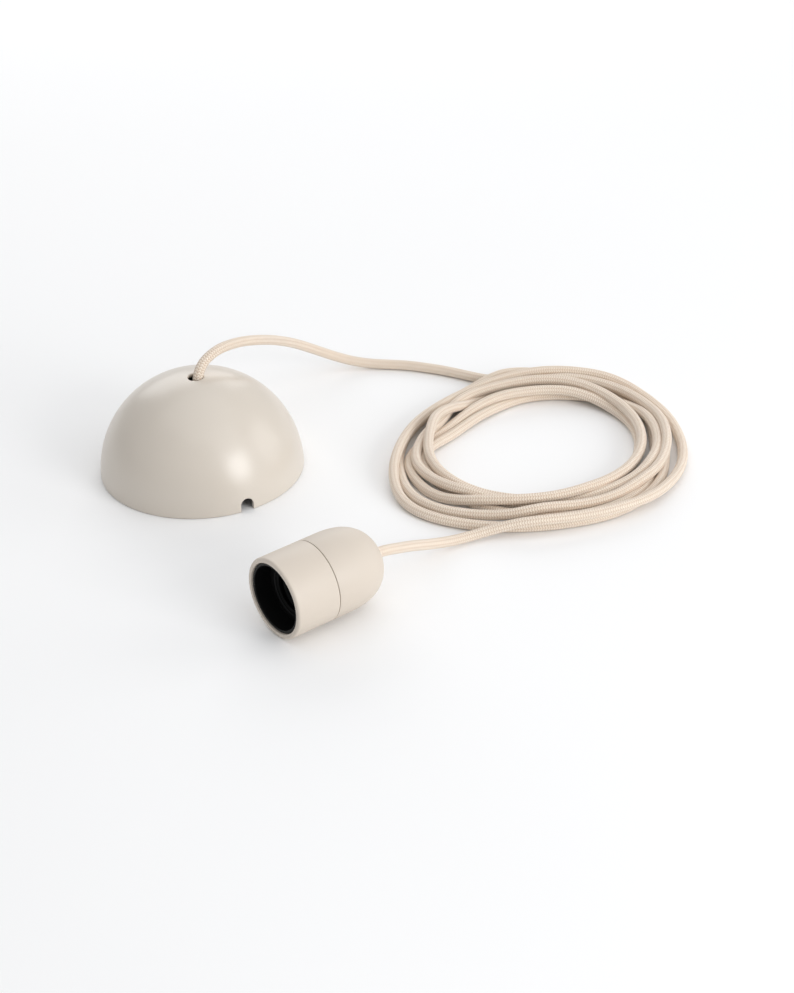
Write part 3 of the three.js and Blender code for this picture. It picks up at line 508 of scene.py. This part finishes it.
def cap_curve(radius, depth, steps):
    """Points of the cap's rounded end from its start to the cord hole."""
    power = CAP_CURVE_POWER
    hole = math.asin((CAP_HOLE / radius) ** (power / 2))
    points = []
    for i in range(steps + 1):
        angle = math.pi / 2 + (hole - math.pi / 2) * i / steps
        points.append((
            radius * math.sin(angle) ** (2 / power),
            CAP_CURVE_START + depth * max(0.0, math.cos(angle)) ** (2 / power),
        ))
    return points


def holder_sleeve():
    end = HOLDER_SEAM - SEAM_GAP / 2
    profile = [
        *arc(SLEEVE_BORE + MOUTH_INNER_ROUND, MOUTH_INNER_ROUND, MOUTH_INNER_ROUND, 180, 270, 6),
        *arc(HOLDER_RADIUS - MOUTH_ROUND, MOUTH_ROUND, MOUTH_ROUND, -90, 0, 12),
        *arc(HOLDER_RADIUS - SEAM_ROUND, end - SEAM_ROUND, SEAM_ROUND, 0, 90, 3),
        (SLEEVE_BORE, end),
    ]
    return turned([profile] * 180)


def holder_cap():
    start = HOLDER_SEAM + SEAM_GAP / 2
    depth = HOLDER_LENGTH - CAP_CURVE_START
    inner = HOLDER_RADIUS - CAP_WALL
    profile = [
        (SLEEVE_BORE, start),
        *arc(HOLDER_RADIUS - SEAM_ROUND, start + SEAM_ROUND, SEAM_ROUND, -90, 0, 3),
        *cap_curve(HOLDER_RADIUS, depth, 56),
        *cap_curve(inner, depth - CAP_WALL, 30)[::-1],
        (inner, LINER_END + 1.5), (SLEEVE_BORE, LINER_END + 1),
    ]
    return turned([profile] * 180)


def holder_liner():
    outer = SLEEVE_BORE - FIT
    bore = outer - LINER_WALL
    shelf = RING_END + FIT
    lip = LINER_LIP_ROUND
    profile = [
        *arc(bore + lip, LINER_RECESS + lip, lip, 180, 270, 6),
        *arc(outer - lip, LINER_RECESS + lip, lip, -90, 0, 6),
        (outer, LINER_END), (LINER_SHOULDER, LINER_END), (LINER_SHOULDER, shelf), (bore, shelf),
    ]
    return turned([profile] * 160)


def thread_ring():
    """A ring whose bore is the rounded lamp thread: its radius swings once for each pitch along
    the axis and shifts by one pitch for each turn round it."""
    facets, per_pitch = 144, 20
    outer = SLEEVE_BORE - FIT - LINER_WALL - FIT
    middle = (THREAD_CREST + THREAD_ROOT) / 2
    depth = (THREAD_ROOT - THREAD_CREST) / 2
    rows = round((THREAD_END - THREAD_START) / THREAD_PITCH * per_pitch)
    mouth = arc(RING_MOUTH, THREAD_START - 0.4, THREAD_START - 0.4 - RING_FRONT, 180, 270, 6)
    back = THREAD_ROOT + 0.6
    plain = mouth + [
        (outer - 0.3, RING_FRONT), (outer, RING_FRONT + 0.3), (outer, RING_END), (back, RING_END),
        (back, THREAD_END + 0.5),
    ]
    sections = []
    for k in range(facets):
        section = []
        for i in range(rows + 1):
            z = THREAD_END + (THREAD_START - THREAD_END) * i / rows
            fade = min(1, (z - THREAD_START) / THREAD_FADE, (THREAD_END - z) / THREAD_FADE)
            wave = math.cos(2 * math.pi * (z / THREAD_PITCH - k / facets))
            section.append((middle - depth * (1 - fade) + depth * wave * fade, z))
        sections.append(section + plain)
    return turned(sections)


# Cord

def curve_through(points, step):
    """Points a step apart on the smoothest curve through the given ones."""
    points = np.array(points, float)
    gaps = np.linalg.norm(np.diff(points, axis=0), axis=1)
    knots = np.concatenate([[0], np.cumsum(gaps)])
    count = len(points)
    slope = np.diff(points, axis=0) / gaps[:, None]
    system = np.eye(count)
    turn = np.zeros_like(points)
    for k in range(1, count - 1):
        system[k, k - 1 : k + 2] = gaps[k - 1], 2 * (gaps[k - 1] + gaps[k]), gaps[k]
        turn[k] = 6 * (slope[k] - slope[k - 1])
    curl = np.linalg.solve(system, turn)
    t = np.linspace(0, knots[-1], 20 * count)
    k = np.clip(np.searchsorted(knots, t, side="right") - 1, 0, count - 2)
    gap = gaps[k, None]
    far = (t - knots[k])[:, None] / gap
    near = 1 - far
    fine = near * points[k] + far * points[k + 1]
    fine += ((near**3 - near) * curl[k] + (far**3 - far) * curl[k + 1]) * gap**2 / 6
    reach = np.concatenate([[0], np.cumsum(np.linalg.norm(np.diff(fine, axis=0), axis=1))])
    places = np.linspace(0, reach[-1], round(reach[-1] / step) + 1)
    return np.stack([np.interp(places, reach, fine[:, axis]) for axis in range(3)], axis=1)


def settled(line, held, rounds):
    """The line after its own thickness has pushed crossing turns apart, never below the table,
    with its spacing kept even, its bends eased and its held points left where they are."""
    count = len(line)
    next_along, easing, evening, pushing = 7, 1 / 16, 0.25, 0.35
    first, second = np.triu_indices(count, next_along)
    fixed = line[held].copy()
    for turn in range(rounds):
        bend = np.zeros_like(line)
        bend[1:-1] = line[:-2] + line[2:] - 2 * line[1:-1]
        ease = np.zeros_like(line)
        ease[2:-2] = bend[1:-3] + bend[3:-1] - 2 * bend[2:-2]
        line = line - easing * ease
        gap = line[1:] - line[:-1]
        length = np.linalg.norm(gap, axis=1, keepdims=True)
        shift = evening * (length - length.mean()) / length * gap
        line[:-1] += shift
        line[1:] -= shift
        if turn % 10 == 0:
            near = np.linalg.norm(line[first] - line[second], axis=1) < CORD + 3
            ones, others = first[near], second[near]
        apart = line[others] - line[ones]
        distance = np.linalg.norm(apart, axis=1)
        touching = distance < CORD
        a, b = ones[touching], others[touching]
        push = pushing * (CORD / distance[touching, None] - 1) * apart[touching]
        moved = np.zeros_like(line)
        hits = np.zeros(count)
        np.add.at(moved, a, -push)
        np.add.at(moved, b, push)
        np.add.at(hits, a, 1)
        np.add.at(hits, b, 1)
        line = line + moved / np.sqrt(np.maximum(1, hits))[:, None]
        line[:, 2] = np.maximum(line[:, 2], CORD / 2)
        line[held] = fixed
    return line


def cord_route():
    """The free cord from just inside the canopy's hole, round the coil, to just inside the cap."""
    coil = []
    for k, (reach, rise) in enumerate(zip(COIL_REACH, COIL_RISE)):
        angle = math.radians(COIL_START - COIL_STEP * k)
        coil.append((
            COIL_MIDDLE[0] + reach * math.cos(angle), COIL_MIDDLE[1] + reach * math.sin(angle), rise,
        ))
    end = HOLDER_MOUTH[0] + HOLDER_LENGTH
    holder = [(end + x, HOLDER_MOUTH[1] + y, z) for x, y, z in HOLDER_LEAD]
    line = curve_through(CANOPY_LEAD + coil + holder[::-1], ROUTE_STEP)
    lead_end = np.linalg.norm(line - CANOPY_LEAD[-3], axis=1).argmin()
    lead_start = np.linalg.norm(line - holder[11], axis=1).argmin()
    held = np.r_[0:lead_end, lead_start:len(line)]
    return settled(line, held, SETTLING_ROUNDS)


def holder_cord_end():
    """The short straight length of cord between the holder's cap and its cord lock."""
    x, y, z = HOLDER_MOUTH
    start, end = HOLDER_CORD_END
    return [(x + start + (end - start) * k / 3, y, z) for k in range(4)]


def tube_tree():
    """Geometry nodes that sweep a round section along a curve and map it by turns and metres."""
    tree = bpy.data.node_groups.new("round cord along its route", "GeometryNodeTree")
    inputs = {"Route": "Geometry", "Diameter": "Float", "Sides": "Int", "Finish": "Material"}
    for name, kind in inputs.items():
        tree.interface.new_socket(name, in_out="INPUT", socket_type=f"NodeSocket{kind}")
    tree.interface.new_socket("Cord", in_out="OUTPUT", socket_type="NodeSocketGeometry")

    def add(kind, settings=None, values=None):
        node = tree.nodes.new(kind)
        for name, setting in (settings or {}).items():
            setattr(node, name, setting)
        for key, value in (values or {}).items():
            socket = node.inputs[key]
            if isinstance(value, bpy.types.NodeSocket):
                tree.links.new(value, socket)
            else:
                socket.default_value = value
        return node

    given = add("NodeGroupInput").outputs
    spline = add("GeometryNodeSplineParameter").outputs
    route = add("GeometryNodeCaptureAttribute", None, {"Geometry": given["Route"]})
    route.capture_items.new("FLOAT", "metres")
    tree.links.new(spline["Length"], route.inputs["metres"])
    radius = add("ShaderNodeMath", {"operation": "MULTIPLY"}, {0: given["Diameter"], 1: 0.5})
    ring = add("GeometryNodeCurvePrimitiveCircle", None, {
        "Resolution": given["Sides"], "Radius": radius.outputs[0],
    })
    section = add("GeometryNodeCaptureAttribute", None, {"Geometry": ring.outputs["Curve"]})
    section.capture_items.new("FLOAT", "turn")
    tree.links.new(spline["Factor"], section.inputs["turn"])
    sweep = add("GeometryNodeCurveToMesh", None, {
        "Curve": route.outputs["Geometry"], "Profile Curve": section.outputs["Geometry"],
        "Fill Caps": True,
    })
    turn = section.outputs["turn"]
    face_turn = add("GeometryNodeFieldOnDomain", {"domain": "FACE", "data_type": "FLOAT"}, {0: turn})
    at_start = add("ShaderNodeMath", {"operation": "LESS_THAN"}, {0: turn, 1: 0.001})
    last_face = add("ShaderNodeMath", {"operation": "GREATER_THAN"}, {0: face_turn.outputs[0], 1: 0.3})
    wrap = add("ShaderNodeMath", {"operation": "MULTIPLY"}, {
        0: at_start.outputs[0], 1: last_face.outputs[0],
    })
    around = add("ShaderNodeMath", {"operation": "ADD"}, {0: turn, 1: wrap.outputs[0]})
    place = add("ShaderNodeCombineXYZ", None, {0: around.outputs[0], 1: route.outputs["metres"]})
    mapped = add("GeometryNodeStoreNamedAttribute", {"data_type": "FLOAT2", "domain": "CORNER"}, {
        "Geometry": sweep.outputs["Mesh"], "Name": "UVMap", "Value": place.outputs[0],
    })
    real = add("GeometryNodeRealizeInstances", None, {"Geometry": mapped.outputs["Geometry"]})
    finished = add("GeometryNodeSetMaterial", None, {
        "Geometry": real.outputs["Geometry"], "Material": given["Finish"],
    })
    out = tree.nodes.new("NodeGroupOutput")
    tree.links.new(finished.outputs["Geometry"], out.inputs["Cord"])
    return tree


TUBE = tube_tree()


def tube(name, points, material):
    """A plain mesh tube of the cord's thickness along points in millimetres."""
    line = bpy.data.curves.new(name, "CURVE")
    line.dimensions = "3D"
    spline = line.splines.new("POLY")
    spline.points.add(len(points) - 1)
    for spot, (x, y, z) in zip(spline.points, points):
        spot.co = (x * MM, y * MM, z * MM, 1)
    obj = bpy.data.objects.new(name, line)
    bpy.context.scene.collection.objects.link(obj)
    sweep = obj.modifiers.new("sweep", "NODES")
    sweep.node_group = TUBE
    sockets = {s.name: s.identifier for s in TUBE.interface.items_tree if s.in_out == "INPUT"}
    sweep[sockets["Diameter"]] = CORD * MM
    sweep[sockets["Sides"]] = CORD_SIDES
    sweep[sockets["Finish"]] = material
    seen = bpy.context.evaluated_depsgraph_get()
    mesh = bpy.data.meshes.new_from_object(obj.evaluated_get(seen))
    bpy.data.objects.remove(obj)
    return smooth(mesh, 60)


# Camera, light and table

def place_camera():
    """The photograph's camera: where it stood, how far it looked down and its slight roll."""
    camera = bpy.data.cameras.new("camera")
    camera.sensor_fit = "AUTO"
    camera.sensor_width = 36.0
    camera.lens = FOCAL / max(PHOTO) * camera.sensor_width
    camera.clip_start, camera.clip_end = 0.05, 50
    obj = bpy.data.objects.new("camera", camera)
    bpy.context.scene.collection.objects.link(obj)
    turn, pitch, roll = map(math.radians, (CAMERA_TURN, CAMERA_PITCH, CAMERA_ROLL))
    ahead = Vector((math.sin(turn), math.cos(turn), 0.0))
    right = Vector((math.cos(turn), -math.sin(turn), 0.0))
    look = ahead * math.cos(pitch) - Vector((0, 0, 1)) * math.sin(pitch)
    up = ahead * math.sin(pitch) + Vector((0, 0, 1)) * math.cos(pitch)
    rolled_up = up * math.cos(roll) + right * math.sin(roll)
    rolled_right = right * math.cos(roll) - up * math.sin(roll)
    axes = Matrix((rolled_right, rolled_up, -look)).transposed()
    obj.matrix_world = Matrix.Translation(CAMERA_PLACE) @ axes.to_4x4()
    bpy.context.scene.camera = obj


def softbox(name, direction, size, power):
    """A flat lamp two metres from the middle of the set, facing it."""
    aim, distance = Vector((0.09, -0.09, 0.02)), 2.0
    lamp = bpy.data.lights.new(name, "AREA")
    lamp.shape = "RECTANGLE"
    lamp.size, lamp.size_y = size
    lamp.energy = power
    obj = bpy.data.objects.new(name, lamp)
    bpy.context.scene.collection.objects.link(obj)
    back = Vector(direction).normalized()
    obj.location = aim + back * distance
    obj.rotation_euler = back.to_track_quat("Z", "Y").to_euler()


def place_light():
    """Five soft lamps in a pale room that the camera sees as white."""
    softbox("key", (0.150, -0.930, 0.325), (0.85, 1.0), 17)
    softbox("high", (0.098, -0.700, 0.7), (1.2, 1.2), 4)
    softbox("side", (0.818, -0.492, 0.35), (1.2, 1.2), 6)
    softbox("above", (0, 0, 1), (2.4, 2.4), 12)
    softbox("behind", (0.40, 0.80, 0.45), (2.0, 1.2), 14)
    world = bpy.data.worlds.new("studio")
    world.use_nodes = True
    tree = world.node_tree
    tree.nodes.clear()
    path = tree.nodes.new("ShaderNodeLightPath")
    room = tree.nodes.new("ShaderNodeBackground")
    seen = tree.nodes.new("ShaderNodeBackground")
    room.inputs["Color"].default_value = (0.97, 0.98, 1.0, 1)
    room.inputs["Strength"].default_value = 0.46
    seen.inputs["Color"].default_value = (1, 1, 1, 1)
    share = tree.nodes.new("ShaderNodeMixShader")
    out = tree.nodes.new("ShaderNodeOutputWorld")
    tree.links.new(path.outputs["Is Camera Ray"], share.inputs["Fac"])
    tree.links.new(room.outputs[0], share.inputs[1])
    tree.links.new(seen.outputs[0], share.inputs[2])
    tree.links.new(share.outputs[0], out.inputs["Surface"])
    bpy.context.scene.world = world


def place_table():
    shape = bmesh.new()
    bmesh.ops.create_grid(shape, x_segments=1, y_segments=1, size=4.0)
    mesh = bpy.data.meshes.new("table")
    shape.to_mesh(mesh)
    shape.free()
    obj = bpy.data.objects.new("table", mesh)
    just_below = -0.0002
    obj.location.z = just_below
    bpy.context.scene.collection.objects.link(obj)
    finish = Finish("pale_table", Roughness=0.9)
    cloud = finish.noise(finish.place(), 3, 2)
    finish.set("Base Color", finish.blend(cloud, (0.93, 0.93, 0.93, 1), (0.95, 0.95, 0.95, 1)))
    mesh.materials.append(finish.material)


# Building

bpy.context.scene.view_settings.view_transform = "Standard"
place_camera()
place_light()
place_table()

SHELL = shell_paint("satin_shell", (211, 202, 190), 0.3, 0.75)
HOLDER = shell_paint("matte_shell", (210, 199, 186), 0.48, 0.5)
TEXTILE = woven_textile()
BLACK = black_plastic()
STEEL = plated_steel()
BRASS = bare_brass()
NYLON = moulded_plastic("nylon", (222, 217, 204), (236, 232, 222), 0.5)
BLOCK = moulded_plastic("terminal_white", (228, 226, 218), (240, 238, 232), 0.4)
BROWN = moulded_plastic("brown_insulation", (82, 46, 28), (100, 58, 36), 0.45)
BLUE = moulded_plastic("blue_insulation", (34, 84, 156), (48, 104, 180), 0.45)

route = cord_route()
fine_route = curve_through(route, DRAWN_STEP)
cord = object_from("free_cord", tube("free_cord", fine_route, TEXTILE), TEXTILE)
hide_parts("cord_to_canopy", "cord_coil", "cord_to_holder")
steps = np.linalg.norm(np.diff(fine_route, axis=0), axis=1)
float(steps.sum() * MM)

for name, points in (("canopy_cord_end", CANOPY_CORD_END), ("holder_cord_end", holder_cord_end())):
    line = curve_through(points, DRAWN_STEP)
    piece = object_from(f"fine_{name}", tube(name, line, TEXTILE), TEXTILE)
    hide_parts(name)

canopy = object_from("canopy", smooth(without(canopy_shell(), notch_cutter())), SHELL)
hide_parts("canopy_dome")

for name, make, material, slot in (
    ("holder_sleeve", holder_sleeve, HOLDER, "shell"), ("holder_cap", holder_cap, HOLDER, "shell"),
    ("holder_liner", holder_liner, BLACK, "insert"), ("thread_ring", thread_ring, BLACK, "insert"),
):
    mesh = make()
    mesh.transform(laid_holder())
    piece = object_from(f"fine_{name}", smooth(mesh), material)
    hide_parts(name)

CARRIED = {
    STEEL: ["mounting_strap", "grip_bracket", "bracket_screw_1", "bracket_screw_2", "block_screw",
            "terminal_screw_brown_1", "terminal_screw_brown_2", "terminal_screw_blue_1",
            "terminal_screw_blue_2", "contact_screw_centre", "contact_screw_side", "lock_screw"],
    NYLON: ["cord_grip", "grip_nut", "grip_screw", "cord_lock"],
    BLOCK: ["terminal_block"],
    BRASS: ["terminal_tube_brown", "terminal_tube_blue", "centre_contact", "side_contact"],
    BLACK: ["contact_block"],
    BROWN: ["canopy_wire_brown", "holder_wire_brown"],
    BLUE: ["canopy_wire_blue", "holder_wire_blue"],
}
for material, names in CARRIED.items():
    for name in names:
        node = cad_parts[name]
        node.data.materials.clear()
        node.data.materials.append(material)
